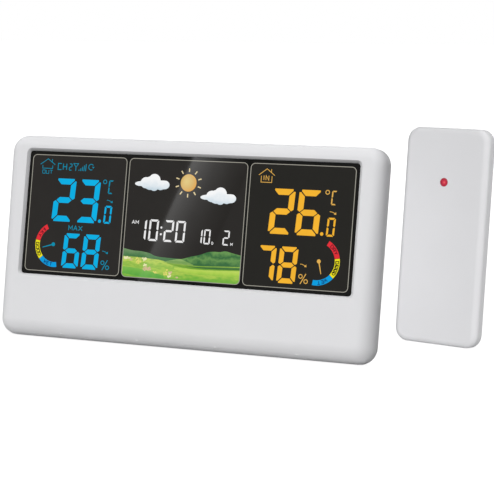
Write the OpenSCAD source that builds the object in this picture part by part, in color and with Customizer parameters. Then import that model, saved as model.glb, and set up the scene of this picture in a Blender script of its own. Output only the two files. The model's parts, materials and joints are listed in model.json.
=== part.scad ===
// Home weather station: a desk console with a three-panel display, and its wireless outdoor sensor.
// The console leans back on a fold-out leg. The sensor stands on its own base beside it.
// Units are millimetres. +Z is up, -Y is the display side.
// The origin is the bottom centre of the whole set.
// "Console frame" and "sensor frame" mean x across, y from the front face to the back, z up the face.

/* [Console] */
// Width of the console
console_w = 190; // [180:1:200]
// Height of the console, measured up its sloping face
console_h = 96; // [92:0.5:100]
// Depth of the rim, which belongs to the front shell
rim_d = 11; // [10:0.5:12]
// Depth of the console from its face to its back
console_d = 25.5; // [25.5:0.5:28]
// Backward slope of the console, in degrees
tilt = 11; // [9:1:12]
// Corner radius of the console, seen from the front
console_corner = 8; // [8:0.5:9]
// Radius of the roll from the face to the rim, at the top
face_roll = 5.5; // [4.5:0.5:6]
// Radius of the roll from the face to the rim, along the bottom
foot_roll = 8; // [6:0.5:8]
// Wall thickness of the console shells
wall = 2.2; // [2:0.1:2.4]

/* [Display] */
// Width of the display window
window_w = 167.5; // [165:0.5:168]
// Height of the display window
window_h = 58.8; // [57:0.1:59]
// Height of the window's centre up the face
window_z = 59; // [58.5:0.1:59.5]
// Depth of the window below the face
window_recess = 1.2; // [1:0.1:1.3]
// Width of the chamfer round the window
window_chamfer = 1.3; // [1:0.1:1.5]

/* [Stand and keys] */
// Opening angle of the leg from the back of the console, in degrees
leg_open = 24; // [22:1:26]
// Width of the leg
leg_w = 58; // [50:1:58]
// Radius of a key on the back
key_r = 3.9; // [3:0.1:4.2]
// Travel of a key on the back
key_travel = 0.8; // [0.5:0.1:0.9]

/* [Sensor] */
// Width of the sensor
sensor_w = 43.6; // [43.5:0.1:46]
// Height of the sensor
sensor_h = 101.2; // [101:0.1:104]
// Depth of the sensor
sensor_d = 18; // [18:0.5:19]
// Depth of the sensor's front cover
sensor_rim_d = 7; // [7:0.25:7.5]
// Backward lean of the sensor on its base, in degrees
sensor_lean = 6; // [4:0.5:6]
// Turn of the sensor away from the console's direction, in degrees
sensor_yaw = -12.5; // [-15:0.5:0]
// Place of the sensor to the right of the console's centre
sensor_right = 104.2; // [104:0.1:110]
// Place of the sensor behind the console's front edge
sensor_behind = 62.8; // [62:0.1:80]

/* [Hidden] */
$fn = 64;
hull_fn = 32;      // facets of round shapes inside a hull
eps = 0.01;        // overlap between solids that are joined
gap = 0.1;         // clearance between two pieces that fit together
far = 300;         // larger than the whole set

// Height of each unit's bottom front corner above the table, when its sole is cut flat
sole_cut = 0.4;
console_lift = rim_d * sin(tilt) - sole_cut;
sensor_roll = 3;
sensor_lift = sensor_roll * (1 - cos(sensor_lean) + sin(sensor_lean));
rim_back_roll = 1.5;

// Rear shell
hump_inset = 8.5;
hump_w = console_w - 2 * hump_inset;
hump_bottom = 3.6;
hump_top = 92.9;
hump_h = hump_top - hump_bottom;
hump_corner = 8;
hump_roll = 4;
back_y = console_d - 2;            // inner face of the rear wall
flange_y = rim_d - 2;
inner_w = console_w - 2 * wall - 0.2;
inner_h = console_h - 2 * wall - 0.2;

// Display stack, as depths below the face
lens_t = 1.8;
lens_back = window_recess + lens_t;
gasket_t = 0.2;
ledge_back = lens_back + gasket_t + 1.2;
frame_wall = 1.7;                  // wall round the window's pocket
aperture_w = window_w - 3.2;
aperture_h = window_h - 3.2;
lcd_w = aperture_w + 1.3;
lcd_h = aperture_h + 1.2;
lcd_y = ledge_back + gap;
lcd_t = 2.2;
seat_w = lcd_w + 0.4;
seat_h = lcd_h + 0.4;
guide_y = lcd_y + lcd_t + 0.2;
guide_t = 2.6;
holder_back = guide_y + guide_t + 1.9;
holder_wall = 1.2;
lcd_low = window_z - lcd_h / 2;    // lower edge of the glass

// Main board
board_y = 12.2;
board_t = 1.6;
board_back = board_y + board_t;
board_x0 = -40.5;
board_x1 = 81;
board_z0 = 8.5;
board_z1 = 88;
standoffs = [[-37.2, 12.5], [-37.2, 84], [77, 66], [77, 26]];

// Battery bay: three cells side by side, standing on end
cell_r = 5.25;
cell_l = 43.7;
cell_pitch = 11;
bay_x = -61;
bay_w = 36;
bay_z0 = 20;
bay_h = 54;
bay_wall = 1.2;
bay_floor = 12.5;
cell_y = bay_floor + 0.15 + cell_r;
plate_t = 0.4;                     // thickness of a contact plate
plate_reach = 8.2;                 // depth of a contact plate, clear of the door's hooks
tab_y = bay_floor + 2;
door_t = 1.8;
door_w = bay_w - 2 * gap;
door_h = bay_h - 2 * gap;

// Leg and its recess
recess_w = leg_w + 4;
recess_floor = 20.9;
recess_top = 67;
pivot_y = 23.2;
pivot_z = 62;
knuckle_r = 2.2;
pin_r = 1.6;
leg_t = 3;
pad_r = 1.6;
pivot_height = pivot_z * cos(tilt) - pivot_y * sin(tilt) + console_lift;
leg_l = (pivot_height - pad_r) / cos(leg_open - tilt);

// Keys on the back: name order is set, mode, memory, up, down, channel
key_places = [[48, 74], [48, 58], [48, 42], [68, 74], [68, 58], [68, 42]];
switch_top = board_back + 3.5;
screw_x = console_w / 2 - 5.7;
screw_zs = [14, 49, 83];
keyhole_x = 73;
keyhole_z = 81.5;
keyhole_r = 4;
socket_x = 70;
socket_z = 15;

// Sensor inside
s_wall = 1.8;
s_corner = 6.5;
s_rim_roll = 0.8;
s_flange_y = sensor_rim_d - 1.5;   // front of the rear shell's flange, inside the cover's rim
s_hump_w = 28;
s_hump_z0 = 0.6;
s_hump_h = 91.4;
s_hump_corner = 4;
s_hump_roll = 2;
s_hump_wall = 1.6;
s_bay_w = 24;
s_bay_z0 = 13;
s_bay_h = 60;
s_bay_floor = 4.9;
s_step_floor = 6.6;                // floor above the cells, which the controls come through
s_cell_y = s_bay_floor + 0.15 + cell_r;
s_cell_z = 17.6;
s_door_t = 1.5;
s_door_w = s_bay_w - 2 * gap;
s_door_h = s_bay_h - 2 * gap;
s_led_z = 75.9;
s_led_r = 2;
s_board_y = 3.4;
s_board_t = 1.2;
s_board_back = s_board_y + s_board_t;
s_screws = [[-16.4, 8], [16.4, 8], [-16.4, 94], [16.4, 94]];
s_cells_top = s_cell_z + cell_l + 5.2;
s_step_z = s_cells_top + gap;
s_controls_z = s_step_z + 4.1;
s_slide_x = -4.5;
s_button_x = 6;
s_hook_z = 82;
s_hook_r = 3.2;

// ---------- Frames ----------
// How far a rolled slab reaches along u, from the bottom centre of its front face
function slab_reach(u, w, h, d, corner, front, back) =
  let (roll = u.y > 0 ? back : front, y = u.y > 0 ? d - back : front, z = u.z > 0 ? h - corner : corner)
  abs(u.x) * (w / 2 - corner) + u.z * z + u.y * y + norm([u.x, u.z]) * (corner - roll) + roll;
// The sensor's cover reaches furthest to the right, and its hump furthest back
sensor_right_dir = [cos(sensor_yaw), -sin(sensor_yaw) * cos(sensor_lean),
  -sin(sensor_yaw) * sin(sensor_lean)];
sensor_back_dir = [sin(sensor_yaw), cos(sensor_yaw) * cos(sensor_lean),
  cos(sensor_yaw) * sin(sensor_lean)];
// Centre of the set's box, in the frame of the console's front edge on the table
set_right = sensor_right
  + slab_reach(sensor_right_dir, sensor_w, sensor_h, sensor_rim_d, s_corner, sensor_roll, s_rim_roll);
set_back = sensor_behind + sensor_back_dir.z * s_hump_z0
  + slab_reach(sensor_back_dir, s_hump_w, s_hump_h, sensor_d, s_hump_corner, 0, s_hump_roll);
set_front = -slab_reach([0, -cos(tilt), -sin(tilt)], console_w, console_h, rim_d, console_corner, foot_roll,
  rim_back_roll);
set_mid_x = (set_right - console_w / 2) / 2;
set_mid_y = (set_back + set_front) / 2;
module on_console() {
  translate([-set_mid_x, -set_mid_y, console_lift]) rotate([-tilt, 0, 0]) children();
}
module on_sensor() {
  translate([sensor_right - set_mid_x, sensor_behind - set_mid_y, sensor_lift])
    rotate([0, 0, sensor_yaw]) rotate([-sensor_lean, 0, 0]) children();
}
// The half space under the table top, seen from a frame that leans back by a and stands up by lift
module under_table(a, lift) {
  rotate([a, 0, 0]) translate([-far, -far, -far - lift]) cube([2 * far, 2 * far, far]);
}

// ---------- Shapes ----------
// A flat outline drawn in x and z, made solid from depth y0 to y1
module upright(y0, y1) translate([0, y1, 0]) rotate([90, 0, 0]) linear_extrude(y1 - y0) children();
module rounded(w, h, r) {
  square([w - 2 * r, h], center = true);
  square([w, h - 2 * r], center = true);
  for (sx = [-1, 1], sy = [-1, 1]) translate([sx * (w / 2 - r), sy * (h / 2 - r)]) circle(r);
}
module plate(w, h, r, y0, y1, x = 0, z = 0) translate([x, 0, z]) upright(y0, y1) rounded(w, h, r);
module rod(r, y0, y1, x = 0, z = 0) translate([x, y0, z]) rotate([-90, 0, 0]) cylinder(r = r, h = y1 - y0);
module block(x0, x1, y0, y1, z0, z1) translate([x0, y0, z0]) cube([x1 - x0, y1 - y0, z1 - z0]);

// A slab with round corners, whose front and back edges are rolled over; its lower edge is at z = 0
module rolled_slab(w, h, d, corner, front, back, low_front) {
  bottom_front = is_undef(low_front) ? front : low_front;
  hull() for (x = [corner - w / 2, w / 2 - corner]) {
    translate([x, 0, corner]) rolled_disc(d, corner, bottom_front, back);
    translate([x, 0, h - corner]) rolled_disc(d, corner, front, back);
  }
}
module rolled_disc(d, corner, front, back) {
  rotate([-90, 0, 0]) rotate_extrude($fn = hull_fn) intersection() {
    square([corner, d]);
    union() {
      translate([0, front]) square([corner, d - front - back]);
      square([max(corner - front, eps), d - back]);
      translate([0, front]) square([max(corner - back, eps), d - front]);
      translate([corner - front, front]) circle(front, $fn = hull_fn);
      translate([corner - back, d - back]) circle(back, $fn = hull_fn);
    }
  }
}

// A round wire of radius r that follows points, closed at both ends; it never runs along the direction flat
function unit(v) = v / norm(v);
function ring_at(p, dir, r, sides, flat) =
  let (u = unit(cross(dir, flat)), v = cross(dir, u))
  [for (i = [0 : sides - 1]) p + r * (cos(360 * i / sides) * u + sin(360 * i / sides) * v)];
function turn_at(path, i) =
  unit(path[min(i + 1, len(path) - 1)] - path[max(i - 1, 0)]);
module wire(path, r, sides = 6, flat = [0, 0, 1]) {
  n = len(path);
  rings = [for (i = [0 : n - 1]) each ring_at(path[i], turn_at(path, i), r, sides, flat)];
  walls = [for (i = [0 : n - 2], j = [0 : sides - 1])
    let (a = i * sides + j, b = i * sides + (j + 1) % sides)
      each [[a, b, b + sides], [a, b + sides, a + sides]]];
  ends = [[for (j = [sides - 1 : -1 : 0]) j], [for (j = [0 : sides - 1]) (n - 1) * sides + j]];
  polyhedron(rings, concat(walls, ends), convexity = 8);
}
function coil_points(r0, r1, length, turns, per_turn = 10) =
  [for (i = [0 : turns * per_turn])
    let (s = i / (turns * per_turn), a = 360 * turns * s, r = r0 + (r1 - r0) * s)
      [r * cos(a), r * sin(a), length * s]];

module keyhole(r, slot, rise, y0, y1) {
  rod(r, y0, y1);
  rod(slot, y0, y1, 0, rise);
  block(-slot, slot, y0, y1, 0, rise);
}
module slots(w, n, pitch, y0, y1) {
  for (i = [0 : n - 1]) plate(w, 1.2, 0.55, y0, y1, 0, i * pitch);
}
// A dry cell of the AAA size, standing on its flat end at z = 0, with its axis on z
module dry_cell() {
  cylinder(r = cell_r, h = cell_l);
  translate([0, 0, cell_l - eps]) cylinder(r = 1.9, h = 0.8 + eps);
}
// A battery door that hooks under the wall at its top edge; its outer face is at depth y1
hook_w = 6;
hook_t = 1.4;
hook_rise = 1.6;
module hooked_door(w, h, t, y1) {
  difference() {
    union() {
      plate(w, h, 1, y1 - t, y1, 0, h / 2);
      for (x = [-w / 4, w / 4])
        block(x - hook_w / 2, x + hook_w / 2, y1 - t - hook_t, y1 - t + eps, h - 4, h + hook_rise);
      block(-catch_w / 2, catch_w / 2, y1 - t, y1 - t + 0.9, -catch_rise, eps);
    }
    for (x = [-w * 0.15, w * 0.15]) block(x - 0.4, x + 0.4, y1 - t - 1, y1 + 1, -1, 9);
    for (i = [0 : 2]) plate(w * 0.2, 0.8, 0.35, y1 - 0.4, y1 + 1, 0, 2.2 + i * 1.8);
  }
}
catch_w = 3;
catch_rise = 0.6;
// Room that such a door's hooks and catch need in the wall round it
module hook_room(w, h, t, y1) {
  for (x = [-w / 4, w / 4])
    block(x - hook_w / 2 - 0.3, x + hook_w / 2 + 0.3, y1 - t - hook_t - 2.2, y1 - t + 0.1,
      h - 1, h + hook_rise + 0.6);
  block(-catch_w / 2 - 0.2, catch_w / 2 + 0.2, y1 - t - 0.2, y1 - t + 1, -catch_rise - 0.3, 1);
}

// ---------- Console housing ----------
module front_shell() {
  color("gainsboro") on_console() difference() {
    union() {
      difference() {
        rolled_slab(console_w, console_h, rim_d, console_corner, face_roll, rim_back_roll, foot_roll);
        translate([0, wall, wall + 0.1])
          rolled_slab(inner_w, inner_h, 20, console_corner - wall, face_roll - wall, 1, foot_roll - wall);
      }
      plate(window_w + 2 * frame_wall, window_h + 2 * frame_wall, 2.5, wall - 1, ledge_back, 0, window_z);
      for (x = [-screw_x, screw_x], z = screw_zs) rod(2.6, wall - eps, flange_y - gap, x, z);
      for (x = [-60, -20, 20, 60]) block(x - 0.6, x + 0.6, wall - eps, 6.5, wall, 22);
    }
    hull() {
      plate(window_w + 2 * window_chamfer, window_h + 2 * window_chamfer, 2.6, -1, eps, 0, window_z);
      plate(window_w, window_h, 1.6, window_recess, window_recess + eps, 0, window_z);
    }
    plate(window_w, window_h, 1.6, 0.5, lens_back + gasket_t, 0, window_z);
    plate(aperture_w, aperture_h, 1, 0, 9, 0, window_z);
    for (x = [-screw_x, screw_x], z = screw_zs) rod(1, 4, far, x, z);
    under_table(tilt, console_lift);
  }
}

module rear_shell_walls() {
  difference() {
    union() {
      plate(inner_w - 0.2, inner_h - 0.2, console_corner - wall, flange_y, rim_d, 0, console_h / 2);
      translate([0, flange_y, hump_bottom])
        rolled_slab(hump_w, hump_h, console_d - flange_y, hump_corner, 0.5, hump_roll);
    }
    translate([0, flange_y - 1, hump_bottom + 2])
      rolled_slab(hump_w - 4, hump_h - 4, back_y - flange_y + 1, hump_corner - 2, 0.5, hump_roll - 2);
  }
  // Tray that the leg folds into
  block(-recess_w / 2 - 1.8, recess_w / 2 + 1.8, recess_floor - 1.8, back_y + eps,
    hump_bottom, recess_top + 1.8);
  // Battery bay
  block(bay_x - bay_w / 2 - bay_wall, bay_x + bay_w / 2 + bay_wall, bay_floor - 0.9, back_y + eps,
    bay_z0 - bay_wall, bay_z0 + bay_h + bay_wall);
  for (p = standoffs) rod(2.3, board_back, back_y + eps, p.x, p.y);
}

module rear_shell() {
  color("whitesmoke") on_console() difference() {
    rear_shell_walls();
    block(-recess_w / 2, recess_w / 2, recess_floor, far, -10, recess_top);
    for (s = [-1, 1]) translate([s * (recess_w / 2 - 1), pivot_y, pivot_z]) rotate([0, s * 90, 0])
      cylinder(r = pin_r + 0.05, h = 2.4);
    block(bay_x - bay_w / 2, bay_x + bay_w / 2, bay_floor, far, bay_z0, bay_z0 + bay_h);
    translate([bay_x, 0, bay_z0 + gap]) hook_room(door_w, door_h, door_t, console_d - gap);
    block(cell_x(0) - 1.8, cell_x(0) + 1.8, tab_y - 0.2, tab_y + 0.7, bay_z0 - 3, bay_z0 + 1);
    block(cell_x(2) - 1.8, cell_x(2) + 1.8, tab_y - 0.2, tab_y + 0.7,
      bay_z0 + bay_h - 1, bay_z0 + bay_h + 3);
    for (p = key_places) rod(key_r + 0.2, 20, far, p.x, p.y);
    block(-24, 24, 15.4, 21.6, hump_top - 4, far);
    for (x = [-keyhole_x, keyhole_x]) translate([x, 0, keyhole_z])
      keyhole(keyhole_r, 1.9, 4.6, back_y - 1, far);
    rod(3.4, back_y - 1, far, socket_x, socket_z);
    translate([50, 0, 12]) slots(16, 6, 2.6, back_y - 1, far);
    for (x = [-screw_x, screw_x], z = screw_zs) rod(1.15, 0, rim_d + 1, x, z);
    for (p = standoffs) rod(0.8, board_back - 1, board_back + 6, p.x, p.y);
    for (x = [-62, 62]) block(x - 7, x + 7, 14, 21, 0, hump_bottom + 0.6);
    under_table(tilt, console_lift);
  }
}

module rubber_feet() {
  color("dimgray") on_console() difference() {
    for (x = [-62, 62]) block(x - 7 + gap, x + 7 - gap, 14 + gap, 21 - gap, 0, hump_bottom + 0.6);
    under_table(tilt, console_lift);
  }
}
module screw(head_r, shaft_r, length) {
  difference() {
    cylinder(r = head_r, h = 1.2);
    for (a = [0, 90]) rotate([0, 0, a]) translate([-head_r * 0.6, -0.25, 0.7]) cube([head_r * 1.2, 0.5, 1]);
  }
  translate([0, 0, -length]) cylinder(r = shaft_r, h = length + eps);
}
module housing_screws() {
  color("silver") on_console() for (x = [-screw_x, screw_x], z = screw_zs)
    translate([x, rim_d, z]) rotate([-90, 0, 0]) screw(1.85, 0.95, 6.5);
}

// ---------- Display stack ----------
module display_lens() {
  color([0.1, 0.1, 0.12, 0.6]) on_console()
    plate(window_w - 0.2, window_h - 0.2, 1.5, window_recess, lens_back, 0, window_z);
}
module lens_gasket() {
  color("black") on_console() difference() {
    plate(window_w - 0.4, window_h - 0.4, 1.4, lens_back, lens_back + gasket_t, 0, window_z);
    plate(aperture_w, aperture_h, 1, 0, 9, 0, window_z);
  }
}
module lcd_panel() {
  color([0.08, 0.08, 0.09]) on_console() plate(lcd_w, lcd_h, 0.4, lcd_y, lcd_y + lcd_t, 0, window_z);
}
module lcd_holder() {
  color("white") on_console() difference() {
    plate(seat_w + 2 * holder_wall, seat_h + 2 * holder_wall, 3.5, lcd_y, holder_back, 0, window_z);
    plate(seat_w, seat_h, 0.5, 0, guide_y + guide_t + 0.9, 0, window_z);
    for (x = [-52, 0, 52]) plate(46, lcd_h - 14, 3, 0, far, x, window_z + 2);
    block(-lcd_w / 2, lcd_w / 2, 0, far, lcd_low, lcd_low + 3.2);
  }
}
module light_guide() {
  color([0.9, 0.95, 1, 0.7]) on_console()
    block(-lcd_w / 2 + 3.4, lcd_w / 2 - 3.4, guide_y, guide_y + guide_t,
      lcd_low + 3.6, window_z + lcd_h / 2 - 0.3);
}
module reflector_sheet() {
  color("white") on_console() block(-lcd_w / 2 + 3.4, lcd_w / 2 - 3.4, guide_y + guide_t + gap,
    guide_y + guide_t + 0.4, lcd_low + 3.6, window_z + lcd_h / 2 - 0.3);
}
module backlight_boards() {
  color("darkgreen") on_console() for (s = [-1, 1]) mirror([s < 0 ? 1 : 0, 0, 0])
    block(lcd_w / 2 - 1, lcd_w / 2 - 0.1, guide_y, guide_y + guide_t,
      lcd_low + 4, window_z + lcd_h / 2 - 0.8);
}
module backlight_leds() {
  color("ivory") on_console() for (s = [-1, 1], i = [0 : 5]) mirror([s < 0 ? 1 : 0, 0, 0])
    translate([0, 0, lcd_low + 8 + i * 8.6])
      block(lcd_w / 2 - 2.8, lcd_w / 2 - 1, guide_y + 0.3, guide_y + 2.2, 0, 3.2);
}
module elastomer_strip() {
  color("gray") on_console()
    block(-38, 78, lcd_y + lcd_t, board_y, lcd_low + 0.5, lcd_low + 2.7);
}

// ---------- Electronics ----------
module main_board() {
  color("green") on_console() difference() {
    block(board_x0, board_x1, board_y, board_back, board_z0, board_z1);
    for (p = standoffs) rod(1.1, 0, far, p.x, p.y);
    block(-25, 25, 0, far, board_z0 - 1, 14);
  }
}
module board_screws() {
  color("silver") on_console() for (p = standoffs) translate([p.x, board_y, p.y]) rotate([90, 0, 0]) {
    cylinder(r = 1.9, h = 0.6);
    translate([0, 0, -6]) cylinder(r = 0.75, h = 6 + eps);
  }
}
module processor() {
  color("black") on_console() translate([-8, board_back, 50]) rotate([-90, 0, 0]) rotate_extrude($fn = 128)
    intersection() {
      translate([0, -9]) circle(r = 11.2);
      square([7, 4]);
    }
}
module quartz_crystal() {
  color("silver") on_console() translate([8, 0, 40]) {
    rod(1.5, board_back, board_back + 3.2, -3);
    rod(1.5, board_back, board_back + 3.2, 3);
    block(-3, 3, board_back, board_back + 3.2, -1.5, 1.5);
  }
}
module radio_module() {
  color("darkblue") on_console() {
    block(12, 28, board_back, board_back + 1, 70, 84);
    block(17, 22, board_back + 1 - eps, board_back + 2.2, 75, 80);
  }
}
antenna_x = 30.5;
antenna_z = 70;
module radio_antenna() {
  color("peru") on_console() translate([antenna_x, board_back + 3.2, antenna_z])
    wire(concat([[2.4, -3, -1.5], [2.4, -1.6, -0.9]], coil_points(2.4, 2.4, 14, 7),
      [[2.3, 1.4, 14.8]]), 0.4);
}
module buzzer() {
  color("black") on_console() difference() {
    rod(6, board_back, board_back + 3.4, -24, 78);
    rod(1.1, board_back + 1, far, -24, 78);
  }
}
module power_socket() {
  color("black") on_console() {
    difference() {
      union() {
        block(socket_x - 4.5, socket_x + 4.5, board_back, back_y - 0.6, socket_z - 4.5, socket_z + 4.5);
        rod(3.2, back_y - 1, console_d - 0.3, socket_x, socket_z);
      }
      rod(2, console_d - 9.5, far, socket_x, socket_z);
    }
    rod(0.65, console_d - 9.5 - eps, console_d - 2, socket_x, socket_z);
  }
}
module smoothing_capacitor() {
  color("navy") on_console() rod(3.1, board_back, board_back + 7, 56, 31.5);
}
module tact_switch() {
  block(-3, 3, 0, 2.6, -3, 3);
  rod(1.7, 2.6 - eps, 3.5);
}
module key_switches() {
  color("dimgray") on_console() {
    for (p = key_places) translate([p.x, board_back, p.y]) tact_switch();
    translate([0, board_back + 3, 83.5]) rotate([90, 0, 0]) tact_switch();
  }
}
module room_probe() {
  color("white") on_console() {
    block(46, 54, board_back, board_back + 0.8, 15, 25);
    block(48.5, 51.5, board_back + 0.8 - eps, board_back + 2, 18.5, 21.5);
  }
}

// ---------- Batteries ----------
function cell_x(i) = bay_x + (i - 1) * cell_pitch;
module battery_cell(i) {
  up = i % 2 == 0;
  color(up ? "gold" : "darkorange") on_console() translate([cell_x(i), cell_y, bay_z0 + (up ? 5.2 : 4.3)])
    if (up) dry_cell(); else translate([0, 0, cell_l]) mirror([0, 0, 1]) dry_cell();
}
module contact_spring() wire(coil_points(3.6, 2, 4, 4), 0.35, 5);
module battery_springs() {
  color("silver") on_console() for (i = [0 : 2]) {
    up = i % 2 == 0;
    translate([cell_x(i), cell_y, up ? bay_z0 + 0.9 : bay_z0 + bay_h - 0.9]) mirror([0, 0, up ? 0 : 1])
      contact_spring();
  }
}
// Contact plate across the cells from a to b, with its outer face at height z, turned inwards by side
module contact_plate(x0, x1, y0, z, side) {
  block(x0 - 4.5, x1 + 4.5, y0, y0 + plate_reach,
    min(z, z + side * plate_t), max(z, z + side * plate_t));
}
module battery_plates() {
  low = bay_z0 + gap;
  high = bay_z0 + bay_h - gap;
  color("silver") on_console() {
    contact_plate(cell_x(0), cell_x(0), bay_floor + 0.5, low, 1);
    contact_plate(cell_x(1), cell_x(2), bay_floor + 0.5, low, 1);
    contact_plate(cell_x(0), cell_x(1), bay_floor + 0.5, high, -1);
    contact_plate(cell_x(2), cell_x(2), bay_floor + 0.5, high, -1);
    block(cell_x(0) - 1.5, cell_x(0) + 1.5, tab_y, tab_y + 0.5, low - 3.4, low + eps);
    block(cell_x(2) - 1.5, cell_x(2) + 1.5, tab_y, tab_y + 0.5, high - eps, high + 3.4);
  }
}
// Leads from the two end plates to the main board, round the board's left edge
lead_routes = [
  [[-71.5, 15.6, 17.4], [-69, 15.8, 16.2], [-64, 16.1, 15.4], [-56, 16.4, 15], [-48, 16.5, 15.4],
    [-43, 16.4, 17], [-39.5, 16.2, 18.6], [-37, 15.2, 19.4], [-35.8, 14.3, 19.8]],
  [[-50, 15.6, 76.6], [-48, 15.8, 78], [-45, 16.2, 79], [-42, 16.4, 79.2], [-39.5, 16.2, 78.6],
    [-37, 15.2, 77.8], [-35.8, 14.3, 77.4]],
];
module battery_leads() {
  color("red") on_console() for (route = lead_routes) wire(route, 0.5, 8);
}
module battery_door() {
  color("whitesmoke") on_console() translate([bay_x, 0, bay_z0 + gap])
    hooked_door(door_w, door_h, door_t, console_d - gap);
}

// ---------- Leg ----------
module on_leg() {
  on_console() translate([0, pivot_y, pivot_z]) rotate([leg_open, 0, 0]) children();
}
module stand_leg() {
  tip_w = leg_w * 0.75;
  color("whitesmoke") on_leg() difference() {
    union() {
      upright(-leg_t / 2, leg_t / 2)
        polygon([[-leg_w / 2, 0], [leg_w / 2, 0], [tip_w / 2, -leg_l], [-tip_w / 2, -leg_l]]);
      rotate([0, 90, 0]) translate([0, 0, -leg_w / 2]) cylinder(r = knuckle_r, h = leg_w);
      rotate([0, 90, 0]) translate([0, 0, -recess_w / 2 - 1]) cylinder(r = pin_r, h = recess_w + 2);
    }
    plate(tip_w * 0.62, leg_l * 0.5, 4, -5, -leg_t / 2 + 1.2, 0, -leg_l * 0.5);
    for (i = [0 : 2]) plate(16, 0.9, 0.4, leg_t / 2 - 0.5, 5, 0, -leg_l + 4 + i * 2);
    translate([0, 0, -leg_l]) rotate([0, 90, 0]) translate([0, 0, -tip_w / 2 - 1])
      cylinder(r = 1, h = tip_w + 2);
  }
}
module stand_pad() {
  tip_w = leg_w * 0.75;
  color("dimgray") on_leg() difference() {
    translate([0, 0, -leg_l]) rotate([0, 90, 0]) translate([0, 0, -tip_w / 2])
      cylinder(r = pad_r, h = tip_w);
    block(-tip_w, tip_w, -leg_t / 2 - gap, leg_t / 2 + gap, -leg_l, 0);
    translate([0, 0, -leg_l]) rotate([0, 90, 0]) translate([0, 0, -tip_w]) cylinder(r = 0.9, h = 1);
  }
}

// ---------- Keys ----------
module back_key(i) {
  color("lightgray") on_console() translate([key_places[i].x, 0, key_places[i].y]) difference() {
    union() {
      rod(key_r, back_y - 3, console_d + key_travel);
      rod(key_r + 0.9, back_y - 1.2, back_y - 0.2);
      rod(1.5, switch_top + 1.1, back_y - 3 + eps);
    }
    translate([0, console_d + key_travel + 17.6, 0]) sphere(r = 18, $fn = 96);
  }
}
module snooze_key() {
  color("lightgray") on_console() {
    block(-23.8, 23.8, 15.6, 21.4, 90.3, 94.3);
    block(-25, 25, 14.8, 22.2, 89.5, 90.3 + eps);
    block(-2, 2, 15.3, 18.3, 88.1, 89.5 + eps);
  }
}

// ---------- Sensor ----------
module sensor_front() {
  color("gainsboro") on_sensor() difference() {
    union() {
      difference() {
        rolled_slab(sensor_w, sensor_h, sensor_rim_d, s_corner, sensor_roll, s_rim_roll);
        translate([0, s_wall, s_wall])
          rolled_slab(sensor_w - 2 * s_wall, sensor_h - 2 * s_wall, 20, s_corner - s_wall,
            sensor_roll - s_wall, 1);
      }
      for (p = s_screws) rod(2.2, s_wall - eps, s_flange_y - gap, p.x, p.y);
    }
    rod(s_led_r + 0.05, -1, s_wall + 1, 0, s_led_z);
    for (p = s_screws) rod(1, 2.6, far, p.x, p.y);
    under_table(sensor_lean, sensor_lift);
  }
}
// Outline inside the sensor's rim, smaller by inset all round
module s_inside(inset, y0, y1) {
  cut = s_wall + inset;
  plate(sensor_w - 2 * cut, sensor_h - 2 * cut, s_corner - cut, y0, y1, 0, sensor_h / 2);
}
module sensor_seal() {
  color("gray") on_sensor() difference() {
    s_inside(0.15, s_flange_y - 0.6, s_flange_y);
    s_inside(1.15, 0, sensor_d);
  }
}
// The bay's walls, in two steps of depth
module s_bay_block(wall_t, floor_t) {
  x = s_bay_w / 2 + wall_t;
  block(-x, x, s_bay_floor - floor_t, sensor_d - 1, s_bay_z0 - wall_t, s_step_z + wall_t);
  block(-x, x, s_step_floor - floor_t, sensor_d - 1, s_step_z, s_bay_z0 + s_bay_h + 2.8);
}
module sensor_rear() {
  color("whitesmoke") on_sensor() difference() {
    union() {
      difference() {
        union() {
          s_inside(gap, s_flange_y, sensor_rim_d);
          translate([0, sensor_rim_d, s_hump_z0])
            rolled_slab(s_hump_w, s_hump_h, sensor_d - sensor_rim_d, s_hump_corner, 0.4, s_hump_roll);
        }
        translate([0, s_flange_y - 1, s_hump_z0 + s_hump_wall])
          rolled_slab(s_hump_w - 2 * s_hump_wall, s_hump_h - 2 * s_hump_wall,
            sensor_d - s_flange_y + 1 - s_hump_wall, s_hump_corner - s_hump_wall, 0.3, 0.4);
      }
      s_bay_block(1, 1);
      rod(5.2, sensor_d - 5, sensor_d - 1, 0, s_hook_z);
      block(-5.2, 5.2, sensor_d - 5, sensor_d - 1, s_hook_z, s_hook_z + 8);
    }
    block(-s_bay_w / 2, s_bay_w / 2, s_bay_floor, far, s_bay_z0, s_step_z);
    block(-s_bay_w / 2, s_bay_w / 2, s_step_floor, far, s_step_z - eps, s_bay_z0 + s_bay_h);
    block(s_slide_x - 4.7, s_slide_x + 4.7, s_board_back, far, s_controls_z - 1.8, s_controls_z + 1.8);
    rod(2, s_board_back, far, s_button_x, s_controls_z);
    translate([0, 0, s_bay_z0 + gap]) hook_room(s_door_w, s_door_h, s_door_t, sensor_d - gap);
    translate([0, 0, s_hook_z]) {
      keyhole(s_hook_r, 1.6, 4.4, sensor_d - 1.7, far);
      rod(4, sensor_d - 4, sensor_d - 1.6);
      block(-4, 4, sensor_d - 4, sensor_d - 1.6, 0, 7);
    }
    for (x = [-9, 9]) translate([x, 0, 79.5]) slots(5, 4, 2.2, sensor_d - 3, far);
    for (p = s_screws) rod(1.15, 0, far, p.x, p.y);
    under_table(sensor_lean, sensor_lift);
  }
}
module sensor_screws() {
  color("silver") on_sensor() for (p = s_screws)
    translate([p.x, sensor_rim_d, p.y]) rotate([-90, 0, 0]) screw(1.85, 0.95, 4);
}
module sensor_led_lens() {
  color([0.9, 0.05, 0.1, 0.8]) on_sensor() {
    rod(s_led_r, 0.1, s_wall + eps, 0, s_led_z);
    rod(s_led_r + 0.8, s_wall, s_wall + 0.8, 0, s_led_z);
  }
}
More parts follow.
